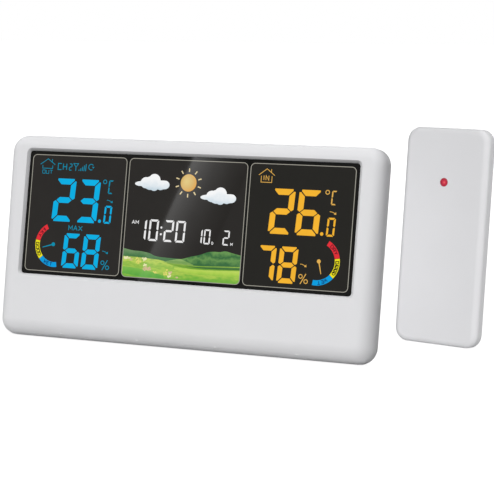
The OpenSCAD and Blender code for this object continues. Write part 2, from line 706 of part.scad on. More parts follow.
module sensor_board() {
  color("green") on_sensor() difference() {
    block(-12.6, 12.6, s_board_y, s_board_back, s_step_z + 1.4, 98);
    rod(1.2, 0, far, 0, 94);
  }
}
module sensor_led() {
  color("red") on_sensor() block(-1.6, 1.6, s_wall + 1, s_board_y, s_led_z - 0.8, s_led_z + 0.8);
}
module sensor_radio_chip() {
  color("black") on_sensor() block(-4, 4, s_board_back, s_board_back + 1.4, 82, 88);
}
module sensor_probe() {
  color("white") on_sensor() block(-9.5, -5.5, s_board_back, s_board_back + 2.6, 77, 82);
}
module sensor_antenna() {
  color("peru") on_sensor() translate([9, s_board_back + 2.9, 77.5])
    wire(concat([[2, -2.7, -1.2], [2, -1.4, -0.8]], coil_points(2, 2, 10.5, 6), [[1.9, 1.2, 11.1]]), 0.35);
}
module sensor_cell(i) {
  up = i % 2 == 0;
  color(up ? "gold" : "darkorange") on_sensor()
    translate([(i - 0.5) * cell_pitch, s_cell_y, up ? s_cell_z + 0.9 : s_cell_z])
      if (up) dry_cell(); else translate([0, 0, cell_l]) mirror([0, 0, 1]) dry_cell();
}
module sensor_springs() {
  color("silver") on_sensor() for (i = [0 : 1]) {
    up = i % 2 == 0;
    translate([(i - 0.5) * cell_pitch, s_cell_y, up ? s_bay_z0 + 0.95 : s_cells_top - 0.85])
      mirror([0, 0, up ? 0 : 1]) contact_spring();
  }
}
module sensor_plates() {
  x = cell_pitch / 2;
  color("silver") on_sensor() {
    contact_plate(-x, x, s_bay_floor + 0.5, s_bay_z0 + gap, 1);
    for (side = [-1, 1]) contact_plate(side * x, side * x, s_bay_floor, s_cells_top, -1);
  }
}
module sensor_battery_door() {
  color("whitesmoke") on_sensor() translate([0, 0, s_bay_z0 + gap])
    hooked_door(s_door_w, s_door_h, s_door_t, sensor_d - gap);
}
module channel_switch() {
  color("silver") on_sensor() translate([s_slide_x, 0, s_controls_z]) difference() {
    block(-4.5, 4.5, s_board_back, s_board_back + 3, -1.6, 1.6);
    block(-3.6, 3.6, s_board_back + 1, far, -0.8, 0.8);
  }
}
module channel_slider() {
  color("black") on_sensor() translate([s_slide_x, 0, s_controls_z])
    block(-1, 1, s_board_back + 1.1, s_board_back + 4.6, -0.7, 0.7);
}
module pairing_switch() {
  color("black") on_sensor() difference() {
    block(s_button_x - 3, s_button_x + 3, s_board_back, s_step_floor - 1.1,
      s_controls_z - 2.6, s_controls_z + 3);
    rod(1.7, s_board_back + 0.3, far, s_button_x, s_controls_z);
  }
}
module pairing_button() {
  color("white") on_sensor() rod(1.6, s_board_back + 0.9, s_step_floor + 1, s_button_x, s_controls_z);
}

front_shell();
rear_shell();
display_lens();
lens_gasket();
lcd_panel();
lcd_holder();
light_guide();
reflector_sheet();
backlight_boards();
backlight_leds();
elastomer_strip();
main_board();
board_screws();
processor();
quartz_crystal();
radio_module();
radio_antenna();
buzzer();
power_socket();
smoothing_capacitor();
key_switches();
room_probe();
battery_springs();
battery_plates();
battery_cell(0);  // battery_cell_1
battery_cell(1);  // battery_cell_2
battery_cell(2);  // battery_cell_3
battery_leads();
battery_door();
stand_leg();
stand_pad();
snooze_key();
back_key(0);  // key_set
back_key(1);  // key_mode
back_key(2);  // key_memory
back_key(3);  // key_up
back_key(4);  // key_down
back_key(5);  // key_channel
housing_screws();
rubber_feet();
sensor_front();
sensor_rear();
sensor_seal();
sensor_led_lens();
sensor_board();
sensor_led();
sensor_radio_chip();
sensor_probe();
sensor_antenna();
sensor_cell(0);  // sensor_cell_1
sensor_cell(1);  // sensor_cell_2
sensor_springs();
sensor_plates();
sensor_battery_door();
sensor_screws();
channel_switch();
channel_slider();
pairing_switch();
pairing_button();
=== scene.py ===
"""Looks, light and camera for the desk weather station and its outdoor sensor."""
import json
import math
import random

import bmesh
import bpy
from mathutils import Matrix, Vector
from mathutils.geometry import tessellate_polygon


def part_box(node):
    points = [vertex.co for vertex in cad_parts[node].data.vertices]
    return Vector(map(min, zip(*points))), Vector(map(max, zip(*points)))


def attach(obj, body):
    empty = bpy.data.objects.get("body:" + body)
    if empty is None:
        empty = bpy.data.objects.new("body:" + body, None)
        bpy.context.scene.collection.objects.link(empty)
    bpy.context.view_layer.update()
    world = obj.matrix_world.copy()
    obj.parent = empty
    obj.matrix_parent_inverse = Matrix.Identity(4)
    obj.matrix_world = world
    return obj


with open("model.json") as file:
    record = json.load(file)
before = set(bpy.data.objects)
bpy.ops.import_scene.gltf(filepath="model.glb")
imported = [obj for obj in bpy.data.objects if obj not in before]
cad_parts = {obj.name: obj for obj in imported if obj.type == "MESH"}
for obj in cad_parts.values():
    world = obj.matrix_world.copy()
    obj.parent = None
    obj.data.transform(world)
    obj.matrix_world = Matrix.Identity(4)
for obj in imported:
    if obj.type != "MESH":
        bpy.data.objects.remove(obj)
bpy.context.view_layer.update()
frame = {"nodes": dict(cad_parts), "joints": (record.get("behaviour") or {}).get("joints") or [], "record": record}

MM = 0.001

# ---------- Axes and places, from the frame ----------
AXES = {joint["name"]: Vector(joint["axis"]) for joint in frame["joints"]}
RIGHT = Vector((1, 0, 0))
UP = -AXES["snooze_press"]  # up along the console's leaning face
OUT = RIGHT.cross(UP)  # out of the face, towards the reader
SENSOR_OUT = AXES["pairing_press"]
TILT = math.atan2(UP.y, UP.z)


def middle(node):
    """Centre of a CAD node's box."""
    low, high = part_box(node)
    return (low + high) / 2


def leaning_size(node):
    """Width, height and thickness of a flat plate that leans back with the console."""
    low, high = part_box(node)
    size = high - low
    spread = math.cos(2 * TILT)
    height = (size.z * math.cos(TILT) - size.y * math.sin(TILT)) / spread
    thick = (size.y * math.cos(TILT) - size.z * math.sin(TILT)) / spread
    return size.x, height, thick


LENS_W, LENS_H, LENS_T = leaning_size("display_lens")
LENS_FRONT = middle("display_lens") + OUT * LENS_T / 2
LED = middle("sensor_led_lens") + SENSOR_OUT * MM
LED_R = 2 * MM


def window_point(x, v):
    """The point on the window's face that is x to the right of its centre and v above it, in mm."""
    return LENS_FRONT + (RIGHT * x + UP * v) * MM


# The camera's place from the window's centre, in metres, and the way it looks, in degrees
CAMERA_OFFSET = Vector((0.3278, -0.6807, 0.0965))
CAMERA_TURN = 23.517
CAMERA_DIP = 8.204
CAMERA_LENS = 120.85


def in_scene(name, data):
    """A new object in the scene."""
    piece = bpy.data.objects.new(name, data)
    bpy.context.scene.collection.objects.link(piece)
    return piece


# ---------- Node materials ----------
def srgb(red, green, blue):
    """Linear colour for a colour named in 0..255 display values."""
    linear = []
    for value in (red, green, blue):
        share = value / 255
        linear.append(share / 12.92 if share <= 0.04045 else ((share + 0.055) / 1.055) ** 2.4)
    return (*linear, 1.0)


def grey(value):
    """Linear grey, from 0 for black to 1 for white."""
    return (value, value, value, 1.0)


class Shader:
    """A new material with one Principled shader, and short calls for the nodes that feed it."""

    def __init__(self, name, rough=0.5, metal=0.0, specular=0.5):
        self.material = bpy.data.materials.new(name)
        self.material.use_nodes = True
        self.nodes = self.material.node_tree.nodes
        self.links = self.material.node_tree.links
        self.bsdf = self.nodes["Principled BSDF"]
        self.set("Roughness", rough)
        self.set("Metallic", metal)
        self.set("Specular IOR Level", specular)
        self.place = self.nodes.new("ShaderNodeTexCoord").outputs["Object"]

    def set(self, socket, value):
        self.bsdf.inputs[socket].default_value = value

    def link(self, source, socket):
        self.links.new(source, self.bsdf.inputs[socket])

    def tint(self, source, *stops):
        self.link(self.ramp(source, *stops), "Base Color")

    def vary_gloss(self, source, low, high, out_low, out_high):
        self.link(self.spread(source, low, high, out_low, out_high), "Roughness")

    def add(self, kind, socket, source, **values):
        """A new node with source linked to one socket, and plain values on others."""
        node = self.nodes.new(f"ShaderNode{kind}")
        self.links.new(source, node.inputs[socket])
        for name, value in values.items():
            node.inputs[name].default_value = value
        return node

    def noise(self, scale, detail=3.0, rough=0.55, place=None):
        values = {"Scale": scale, "Detail": detail, "Roughness": rough}
        return self.add("TexNoise", "Vector", place or self.place, **values).outputs["Fac"]

    def cells(self, scale):
        return self.add("TexVoronoi", "Vector", self.place, Scale=scale).outputs["Distance"]

    def turned(self, rotation, scale=(1, 1, 1)):
        return self.add("Mapping", "Vector", self.place, Rotation=rotation, Scale=scale).outputs["Vector"]

    def part(self, axis, place=None):
        return self.add("SeparateXYZ", "Vector", place or self.place).outputs[axis]

    def vector(self, operation, second=None, first=None):
        """Vector maths on first, or else on the place, with a constant second."""
        node = self.nodes.new("ShaderNodeVectorMath")
        node.operation = operation
        self.links.new(first or self.place, node.inputs[0])
        if second is not None:
            node.inputs[1].default_value = second
        return node.outputs["Vector" if operation == "SUBTRACT" else "Value"]

    def math(self, operation, first, second=0.0):
        node = self.nodes.new("ShaderNodeMath")
        node.operation = operation
        for socket, value in zip(node.inputs, (first, second)):
            if isinstance(value, (int, float)):
                socket.default_value = value
            else:
                self.links.new(value, socket)
        return node.outputs["Value"]

    def spread(self, source, low, high, out_low, out_high):
        values = {"From Min": low, "From Max": high, "To Min": out_low, "To Max": out_high}
        return self.add("MapRange", "Value", source, **values).outputs["Result"]

    def ramp(self, source, *stops):
        node = self.nodes.new("ShaderNodeValToRGB")
        band = node.color_ramp
        while len(band.elements) < len(stops):
            band.elements.new(0.5)
        for element, (position, colour) in zip(band.elements, stops):
            element.position = position
            element.color = colour
        self.links.new(source, node.inputs["Fac"])
        return node.outputs["Color"]

    def mix(self, share, first, second):
        node = self.nodes.new("ShaderNodeMix")
        node.data_type = "RGBA"
        for socket, value in ((0, share), (6, first), (7, second)):
            if isinstance(value, (int, float, tuple)):
                node.inputs[socket].default_value = value
            else:
                self.links.new(value, node.inputs[socket])
        return node.outputs[2]

    def open_share(self, reach, power):
        """One on open faces, falling towards zero inside corners that are nearer than reach."""
        node = self.nodes.new("ShaderNodeAmbientOcclusion")
        node.samples = 16
        node.only_local = True
        node.inputs["Distance"].default_value = reach
        return self.math("POWER", node.outputs["AO"], power)

    def bump(self, source, depth):
        """Relief that is up to depth high, in mm."""
        node = self.add("Bump", "Height", source, Distance=depth * MM)
        self.link(node.outputs["Normal"], "Normal")


def near(colour, share):
    """The same colour, a little darker."""
    return (*(value * (1 - share) for value in colour[:3]), 1.0)


def moulded(name, colour, rough, grain, depth, unevenness=0.05):
    """Moulded plastic: a grain of that size in mm, faint clouding of colour and gloss, painted shade in corners.
    """
    shader = Shader(name, rough)
    cloud = shader.noise(55, 2)
    fine = shader.noise(1 / (grain * MM), 2)
    unshaded = shader.ramp(cloud, (0.3, near(colour, unevenness)), (0.7, colour))
    # Painted shade: the colour darkens inside corners, where the ambient occlusion share falls.
    shader.link(shader.mix(shader.open_share(3 * MM, 6), near(colour, 0.6), unshaded), "Base Color")
    shader.vary_gloss(cloud, 0.3, 0.7, rough * 0.92, rough * 1.08)
    shader.bump(fine, depth)
    return shader.material


WINDOW_CORNER = 1.2 * MM  # inner radius of the shade round the window, and its reach
WINDOW_CHAMFER = 1.6 * MM


def window_shade(shader):
    """Darker along the chamfer down to the window, most at its top and not at its foot, which faces up."""
    offset = shader.vector("SUBTRACT", LENS_FRONT)
    height = shader.vector("DOT_PRODUCT", UP, offset)
    across = shader.part("X", offset)
    beside = shader.math("SUBTRACT", shader.math("ABSOLUTE", across), LENS_W / 2 - WINDOW_CORNER)
    above = shader.math("SUBTRACT", shader.math("ABSOLUTE", height), LENS_H / 2 - WINDOW_CORNER)
    squares = [shader.math("POWER", shader.math("MAXIMUM", far, 0.0), 2.0) for far in (beside, above)]
    away = shader.math("SQRT", shader.math("ADD", *squares))
    outside = shader.spread(away, WINDOW_CORNER, WINDOW_CORNER + WINDOW_CHAMFER, 0.0, 1.0)
    band = shader.ramp(outside, (0.05, grey(0.34)), (0.6, grey(0.57)), (0.82, grey(0.71)), (0.86, grey(1)))
    side = shader.spread(height, -LENS_H / 2 - MM, -LENS_H / 2 + 2 * MM, 0.0, 1.0)
    shade = shader.mix(side, grey(1), band)
    milder = shader.spread(across, -LENS_W / 2, LENS_W / 2, 0.4, 0.75)
    beside_it = shader.spread(shader.math("SUBTRACT", beside, above), -MM, MM, 0.0, 1.0)
    return shader.mix(shader.math("MULTIPLY", beside_it, milder), shade, grey(1))


def front_plastic():
    """The front shells' satin plastic: a fine grain, faint clouding, and shade round the window."""
    shader = Shader("front_plastic", 0.42)
    cloud = shader.noise(55, 2)
    unshaded = shader.ramp(cloud, (0.3, near(FRONT_WHITE, 0.012)), (0.7, FRONT_WHITE))
    shaded = shader.mix(1.0, unshaded, window_shade(shader))
    shaded.node.blend_type = "MULTIPLY"
    shader.link(shaded, "Base Color")
    shader.vary_gloss(cloud, 0.3, 0.7, 0.39, 0.45)
    shader.bump(shader.noise(1 / (0.35 * MM), 2), 0.01)
    return shader.material


def glossy_window():
    """Black-backed acrylic: a hard gloss with the faintest ripple and a few dust specks in the gloss."""
    shader = Shader("glossy_window", 0.03)
    dust = shader.cells(900)
    cloud = shader.noise(30, 2)
    shader.tint(cloud, (0.3, srgb(19, 19, 18)), (0.7, srgb(23, 23, 21)))
    shader.vary_gloss(dust, 0.02, 0.05, 0.25, 0.03)
    shader.bump(shader.noise(18, 1), 0.02)
    return shader.material


def metal(name, colour, rough, brush):
    """Plated or drawn metal: brushed one way, with a little tarnish."""
    shader = Shader(name, rough, metal=1.0)
    lines = shader.noise(1, 3, place=shader.turned((0, 0, 0), brush))
    tarnish = shader.noise(180, 4)
    shader.tint(tarnish, (0.35, near(colour, 0.25)), (0.65, colour))
    shader.vary_gloss(lines, 0.3, 0.7, rough * 0.7, rough * 1.3)
    shader.bump(lines, 0.02)
    return shader.material


def circuit_board():
    """Green solder mask over copper tracks, with tinned pads."""
    shader = Shader("circuit_board", 0.35)
    flat = shader.turned((TILT, 0, 0))
    across = shader.math("FRACT", shader.math("MULTIPLY", shader.part("X", flat), 640))
    along = shader.math("FRACT", shader.math("MULTIPLY", shader.part("Z", flat), 410))
    blocks = shader.cells(95)
    outside = shader.math("GREATER_THAN", blocks, 0.004)
    inside = shader.math("LESS_THAN", blocks, 0.005)
    track = shader.math("MULTIPLY", shader.math("LESS_THAN", across, 0.45), outside)
    rows = shader.math("MULTIPLY", shader.math("LESS_THAN", along, 0.4), inside)
    copper = shader.math("MAXIMUM", track, rows)
    pads = shader.math("LESS_THAN", shader.cells(420), 0.0005)
    mask = shader.mix(copper, srgb(18, 84, 44), srgb(30, 112, 58))
    shader.link(shader.mix(pads, mask, srgb(205, 205, 200)), "Base Color")
    shader.bump(copper, 0.04)
    return shader.material


def cell_can():
    """Printed sleeve of a dry cell: a copper-coloured end and a dark body, lightly scuffed."""
    shader = Shader("cell_can", 0.3, metal=0.6)
    height = shader.part("Z", shader.turned((TILT, 0, 0)))
    band = shader.math("SINE", shader.math("MULTIPLY", height, 90))
    scuff = shader.noise(900, 4)
    body = shader.mix(shader.math("GREATER_THAN", band, 0.55), srgb(34, 34, 36), srgb(186, 124, 58))
    worn = shader.mix(shader.math("GREATER_THAN", scuff, 0.74), body, srgb(96, 96, 96))
    shader.link(worn, "Base Color")
    shader.vary_gloss(scuff, 0.3, 0.7, 0.22, 0.42)
    return shader.material


def clear_plastic():
    """Clear acrylic with moulded extraction dots."""
    shader = Shader("clear_plastic", 0.12)
    shader.set("Transmission Weight", 0.9)
    shader.set("IOR", 1.49)
    dots = shader.cells(900)
    shader.tint(dots, (0.1, srgb(235, 242, 248)), (0.4, srgb(220, 232, 242)))
    shader.bump(dots, 0.03)
    return shader.material


def lcd_glass():
    """Dark glass stack of the display, with its faint electrode rows."""
    shader = Shader("lcd_glass", 0.12)
    rows = shader.math("FRACT", shader.math("MULTIPLY", shader.part("X"), 900))
    row = shader.math("LESS_THAN", rows, 0.3)
    shader.link(shader.mix(row, srgb(22, 22, 24), srgb(28, 29, 31)), "Base Color")
    shader.bump(rows, 0.004)
    return shader.material


def foam():
    """Closed-cell foam or soft conductive rubber: matt, with fine cells."""
    shader = Shader("foam_tape", 0.9, specular=0.2)
    pores = shader.cells(2600)
    shader.tint(pores, (0.05, srgb(24, 24, 24)), (0.5, srgb(52, 52, 52)))
    shader.bump(pores, 0.12)
    return shader.material


def white_sheet():
    """Reflector film: bright, with faint fibres."""
    shader = Shader("white_sheet", 0.6)
    fibre = shader.noise(700, 5, 0.7)
    shader.tint(fibre, (0.3, srgb(226, 226, 224)), (0.7, srgb(240, 240, 238)))
    shader.bump(fibre, 0.03)
    return shader.material


def rubber():
    """Soft rubber: matt black with a fine tooth and pale dust."""
    shader = Shader("soft_rubber", 0.82, specular=0.3)
    tooth = shader.noise(2600, 3)
    dust = shader.noise(240, 4)
    shader.tint(dust, (0.4, srgb(34, 34, 34)), (0.75, srgb(62, 61, 59)))
    shader.bump(tooth, 0.08)
    return shader.material


def red_lens():
    """Tinted moulded lamp lens, lit from inside, with a painted highlight at its centre: brightest at its centre
    and dark at its rim.
    """
    shader = Shader("red_lens", 0.12)
    shader.set("Coat Weight", 0.6)
    shader.set("Coat Roughness", 0.05)
    reach = shader.math("DIVIDE", shader.vector("DISTANCE", LED), LED_R)
    # Partly the lamp's own glow and partly a painted highlight: brightest at the centre, darker towards the rim.
    lamp_glow_and_highlight = shader.ramp(reach, (0.12, srgb(255, 120, 120)), (0.4, srgb(214, 28, 58)),
                       (0.9, srgb(140, 14, 44)))
    cloud = shader.noise(900, 2)
    shader.tint(cloud, (0.3, srgb(120, 14, 32)), (0.7, srgb(136, 18, 38)))
    shader.link(lamp_glow_and_highlight, "Emission Color")
    shader.set("Emission Strength", 0.6)
    return shader.material


FRONT_WHITE = srgb(232, 232, 234)
REAR_WHITE = srgb(224, 224, 226)

# Colour, roughness, grain and its depth in mm, and unevenness
MOULDED = {
    "rear_plastic": (REAR_WHITE, 0.58, 0.5, 0.04, 0.02),
    "white_plastic": (srgb(236, 236, 232), 0.5, 0.6, 0.02),
    "led_white": (srgb(236, 232, 200), 0.25, 0.4, 0.01),
    "black_resin": (srgb(36, 36, 38), 0.55, 0.4, 0.02, 0.2),
    "capacitor_sleeve": (srgb(28, 40, 96), 0.3, 0.8, 0.01, 0.1),
    "lead_sleeve": (srgb(176, 24, 28), 0.4, 0.6, 0.01, 0.1),
    "key_plastic": (srgb(200, 200, 202), 0.5, 0.4, 0.03, 0.02),
}

FINISHES = {
    **{name: moulded(name, *look) for name, look in MOULDED.items()},
    "front_plastic": front_plastic(),
    "display_window": glossy_window(),
    "lcd_glass": lcd_glass(),
    "foam_tape": foam(),
    "clear_plastic": clear_plastic(),
    "white_sheet": white_sheet(),
    "circuit_board": circuit_board(),
    "screw_steel": metal("screw_steel", srgb(190, 190, 192), 0.3, (400, 400, 4000)),
    "tin_metal": metal("tin_metal", srgb(205, 205, 204), 0.25, (3000, 300, 300)),
    "copper_wire": metal("copper_wire", srgb(190, 110, 60), 0.22, (3000, 3000, 600)),
    "cell_can": cell_can(),
    "soft_rubber": rubber(),
    "red_lens": red_lens(),
}

# ---------- Shading of the CAD nodes ----------
SHARP_ANGLE = math.radians(32)


def sharp_edges():
    """Node group that keeps edges above SHARP_ANGLE sharp and smooths the rest."""
    group = bpy.data.node_groups.new("sharp_edges", "GeometryNodeTree")
    group.interface.new_socket("Geometry", in_out="INPUT", socket_type="NodeSocketGeometry")
    group.interface.new_socket("Geometry", in_out="OUTPUT", socket_type="NodeSocketGeometry")
    add = group.nodes.new
    start = add("NodeGroupInput")
    smooth = add("GeometryNodeSetShadeSmooth")
    sharpen = add("GeometryNodeSetShadeSmooth")
    sharpen.domain = "EDGE"
    sharpen.inputs["Shade Smooth"].default_value = False
    angle = add("GeometryNodeInputMeshEdgeAngle")
    compare = add("FunctionNodeCompare")
    compare.operation = "GREATER_THAN"
    compare.inputs["B"].default_value = SHARP_ANGLE
    end = add("NodeGroupOutput")
    group.links.new(angle.outputs["Unsigned Angle"], compare.inputs["A"])
    group.links.new(start.outputs[0], smooth.inputs["Geometry"])
    group.links.new(smooth.outputs[0], sharpen.inputs["Geometry"])
    group.links.new(compare.outputs["Result"], sharpen.inputs["Selection"])
    group.links.new(sharpen.outputs[0], end.inputs[0])
    return group


SHARP_EDGES = sharp_edges()


def smooth_shading(obj):
    """Joins split corners and flat faces, keeps hard edges, and lets the large faces lead the shading."""
    weld = obj.modifiers.new("weld", "WELD")
    weld.merge_threshold = 1e-6
    flat = obj.modifiers.new("whole_faces", "DECIMATE")
    flat.decimate_type = "DISSOLVE"
    flat.angle_limit = math.radians(0.3)
    nodes = obj.modifiers.new("sharp_edges", "NODES")
    nodes.node_group = SHARP_EDGES
    normals = obj.modifiers.new("even_normals", "WEIGHTED_NORMAL")
    normals.keep_sharp = True
    normals.weight = 100


def finish_cad_nodes():
    for part in frame["record"]["subparts"]:
        node = frame["nodes"][part["node"]]
        node.data.materials.clear()
        node.data.materials.append(FINISHES[part["material_slot"]])
        smooth_shading(node)


# ---------- Flat artwork on the display ----------
# Heights above the window's face, in mm
TINT = (0.01, 0.04)
SCENERY = (0.045, 0.07)
FOREGROUND = (0.075, 0.1)
TOP = (0.105, 0.13)


def turned_loop(loop, clockwise):
    """The loop, in the asked direction."""
    area = sum(a[0] * b[1] - b[0] * a[1] for a, b in zip(loop, loop[1:] + loop[:1]))
    return loop[::-1] if (area < 0) != clockwise else loop


def add_plate(bm, loops, low, high):
    """A thin closed plate on the window, from an outline and its holes, between two heights in mm."""
    loops = [turned_loop(list(loop), index > 0) for index, loop in enumerate(loops)]
    tops = []
    bottoms = []
    for loop in loops:
        for across, up in loop:
            foot = window_point(across, up)
            tops.append(bm.verts.new(foot + OUT * high * MM))
            bottoms.append(bm.verts.new(foot + OUT * low * MM))
    flat = [[Vector((across, up, 0)) for across, up in loop] for loop in loops]
    for triangle in tessellate_polygon(flat):
        bm.faces.new([tops[corner] for corner in triangle])
        bm.faces.new([bottoms[corner] for corner in reversed(triangle)])
    first = 0
    for loop in loops:
        count = len(loop)
        for step in range(count):
            here = first + step
            after = first + (step + 1) % count
            bm.faces.new((tops[here], bottoms[here], bottoms[after], tops[after]))
        first += count


def new_piece(name, bm, material):
    mesh = bpy.data.meshes.new(name)
    bm.to_mesh(mesh)
    bm.free()
    mesh.materials.append(material)
    return in_scene(name, mesh)


def artwork(name, shapes, material, layer=FOREGROUND):
    """One piece made of thin plates between two heights; each shape is an outline with its holes."""
    bm = bmesh.new()
    for loops in shapes:
        add_plate(bm, loops, *layer)
    bmesh.ops.recalc_face_normals(bm, faces=bm.faces)
    piece = new_piece(name, bm, material)
    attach(piece, "console")


def arc(cx, cv, radius, start, end, steps=12):
    """Points on an arc, in degrees anticlockwise from the right."""
    points = []
    for step in range(steps + 1):
        angle = math.radians(start + (end - start) * step / steps)
        points.append((cx + radius * math.cos(angle), cv + radius * math.sin(angle)))
    return points


def circle(cx, cv, radius, steps):
    return arc(cx, cv, radius, 0, 360 * (steps - 1) / steps, steps - 1)


def rounded_box(left, right, low, high, radius):
    points = []
    corners = ((right, high, 0), (left, high, 90), (left, low, 180), (right, low, 270))
    for x, v, start in corners:
        cx = x - math.copysign(radius, x - (left + right) / 2)
        cv = v - math.copysign(radius, v - (low + high) / 2)
        points += arc(cx, cv, radius, start, start + 90, 6)
    return points


def stroke(points, width, closed=False):
    """The outline of a line of even width through the points, with mitred corners."""
    count = len(points)
    left = []
    right = []
    for index, (x, v) in enumerate(points):
        before = points[index - 1] if index or closed else None
        after = points[(index + 1) % count] if index < count - 1 or closed else None
        directions = []
        if before:
            directions.append(Vector((x - before[0], v - before[1])).normalized())
        if after:
            directions.append(Vector((after[0] - x, after[1] - v)).normalized())
        normals = [Vector((-d.y, d.x)) for d in directions]
        mean = sum(normals, Vector((0, 0))).normalized()
        reach = width / 2 / max(mean.dot(normals[0]), 0.4)
        left.append((x + mean.x * reach, v + mean.y * reach))
        right.append((x - mean.x * reach, v - mean.y * reach))
    if closed:
        return sorted((left, right), key=span, reverse=True)
    return [left + right[::-1]]


def span(loop):
    across = [x for x, _ in loop]
    return max(across) - min(across)


# Segments of a digit: a top, b upper right, c lower right, d bottom, e lower left, f upper left, g middle
SEGMENTS = {
    "0": "abcdef", "1": "bc", "2": "abged", "3": "abgcd", "6": "afgedc", "7": "abc", "8": "abcdefg",
    "C": "afed",
}


def digit(character, x, v, width, height, bar, split, slant=3.0):
    """Outlines of a seven-segment digit whose lower left corner is at x, v."""
    half = height / 2
    tip = bar * 0.42
    cut = bar * 0.3

    def horizontal(edge, side):
        return [(split + cut, edge), (width - split - cut, edge),
                (width - split - cut * 0.9, edge - side * cut * 0.9),
                (width - bar - split, edge - side * bar), (bar + split, edge - side * bar),
                (split + cut * 0.9, edge - side * cut * 0.9)]

    def vertical(edge, inner, near_end, far_end, side):
        middle_x = edge + (inner - edge) * 0.4
        turn_in = cut * 0.9 * (1 if inner > edge else -1)
        return [(edge, near_end - side * (split + cut)),
                (edge + turn_in, near_end - side * (split + cut * 0.9)),
                (inner, near_end - side * (bar + split)),
                (inner, far_end + side * (bar / 2 + split * 0.6)), (middle_x, far_end + side * split * 0.7),
                (edge, far_end + side * (cut + split * 0.5))]

    outlines = {
        "a": horizontal(height, 1),
        "d": horizontal(0, -1),
        "b": vertical(width, width - bar, height, half, 1),
        "f": vertical(0, bar, height, half, 1),
        "c": vertical(width, width - bar, 0, half, -1),
        "e": vertical(0, bar, 0, half, -1),
        "g": [(tip + split, half), (bar + split, half + bar / 2),
              (width - bar - split, half + bar / 2), (width - tip - split, half),
              (width - bar - split, half - bar / 2), (bar + split, half - bar / 2)],
    }
    lean = math.tan(math.radians(slant))
    shapes = []
    for segment in SEGMENTS[character]:
        shapes.append([[(x + px + pv * lean, v + pv) for px, pv in outlines[segment]]])
    return shapes


def number(text, x, v, width, height, bar, pitch, split):
    shapes = []
    for index, character in enumerate(text):
        shapes += digit(character, x + index * pitch, v, width, height, bar, split)
    return shapes


# Strokes of the display's small letters, on a box one unit wide and one high
LETTERS = {
    "A": [[(0, 0), (0.5, 1), (1, 0)], [(0.22, 0.36), (0.78, 0.36)]],
    "C": [[(1, 1), (0, 1), (0, 0), (1, 0)]],
    "D": [[(0, 0), (0, 1), (0.6, 1), (1, 0.7), (1, 0.3), (0.6, 0), (0.12, 0)]],
    "E": [[(1, 1), (0, 1), (0, 0), (1, 0)], [(0.1, 0.5), (0.85, 0.5)]],
    "G": [[(1, 1), (0, 1), (0, 0), (1, 0), (1, 0.5), (0.55, 0.5)]],
    "H": [[(0, 0), (0, 1)], [(1, 0), (1, 1)], [(0.1, 0.5), (0.9, 0.5)]],
    "I": [[(0.5, 0), (0.5, 1)]],
    "M": [[(0, 0), (0, 1), (0.5, 0.35), (1, 1), (1, 0)]],
    "N": [[(0, 0), (0, 1), (1, 0), (1, 1)]],
    "O": [[(0, 0.05), (0, 1), (1, 1), (1, 0), (0.1, 0)]],
    "R": [[(0, 0), (0, 1), (1, 1), (1, 0.45), (0.15, 0.45)], [(0.5, 0.4), (1, 0)]],
    "T": [[(0, 1), (1, 1)], [(0.5, 0.92), (0.5, 0)]],
    "U": [[(0, 1), (0, 0), (1, 0), (1, 1)]],
    "W": [[(0, 1), (0.25, 0), (0.5, 0.65), (0.75, 0), (1, 1)]],
    "X": [[(0, 0), (1, 1)], [(0, 1), (0.42, 0.58)], [(0.58, 0.42), (1, 0)]],
    "Y": [[(0, 1), (0.5, 0.5), (1, 1)], [(0.5, 0.45), (0.5, 0)]],
}


def word(text, x, v, width, height, line, space, turn=None):
    """Outlines of a small word from x, v; turn maps a point on the straight line to where it goes."""
    shapes = []
    for index, character in enumerate(text):
        left = x + index * (width + space)
        for points in LETTERS[character]:
            placed = [(left + px * width, v + pv * height) for px, pv in points]
            shapes.append(stroke([turn(*point) for point in placed] if turn else placed, line))
    return shapes


UNDER_GLASS = 0.03  # roughness of what is seen through the glossy window


def ink(name, tone, strength=1.0, shade=0.06):
    """A lit display segment: even light with its backlight's slight clouding, under the window's gloss."""
    shader = Shader(name, UNDER_GLASS)
    colour = srgb(*tone)
    cloud = shader.noise(140, 2)
    shader.set("Base Color", near(colour, 0.92))
    shader.link(shader.ramp(cloud, (0.35, near(colour, shade)), (0.65, colour)), "Emission Color")
    shader.set("Emission Strength", strength)
    return shader.material


BLUE = ink("ink_blue", (0, 175, 228))
BLUE_FINE = ink("ink_blue_fine", (0, 140, 172))
ORANGE = ink("ink_orange", (245, 181, 48))
ORANGE_FINE = ink("ink_orange_fine", (226, 176, 84))
WHITE = ink("ink_white", (236, 236, 236))
RED = ink("ink_red", (226, 46, 56))
YELLOW = ink("ink_yellow", (238, 228, 28))
CYAN = ink("ink_cyan", (0, 156, 222))
LINE = ink("ink_line", (166, 163, 152), 0.95)
PANEL = ink("panel_tint", (42, 40, 38))
PANEL_DEEP = ink("panel_tint_deep", (36, 35, 32))
DARK = ink("ink_dark", (34, 28, 20))
RED_WORD = ink("ink_red_word", (118, 22, 36))
CYAN_WORD = ink("ink_cyan_word", (8, 76, 130))
RAY = ink("ink_ray", (226, 208, 160))

# Outlines of the three panels, in mm from the window's centre
PANEL_LOW = -27.8
PANEL_HIGH = 27.75
PANEL_SIDE = 30.1
PANEL_NEAR = 31.4
PANEL_FAR = 82.1
PANEL_CORNER = 2.2
PANEL_LINE = 0.3
PANELS = {
    "left": (-PANEL_FAR, -PANEL_NEAR),
    "middle": (-PANEL_SIDE, PANEL_SIDE),
    "right": (PANEL_NEAR, PANEL_FAR),
}


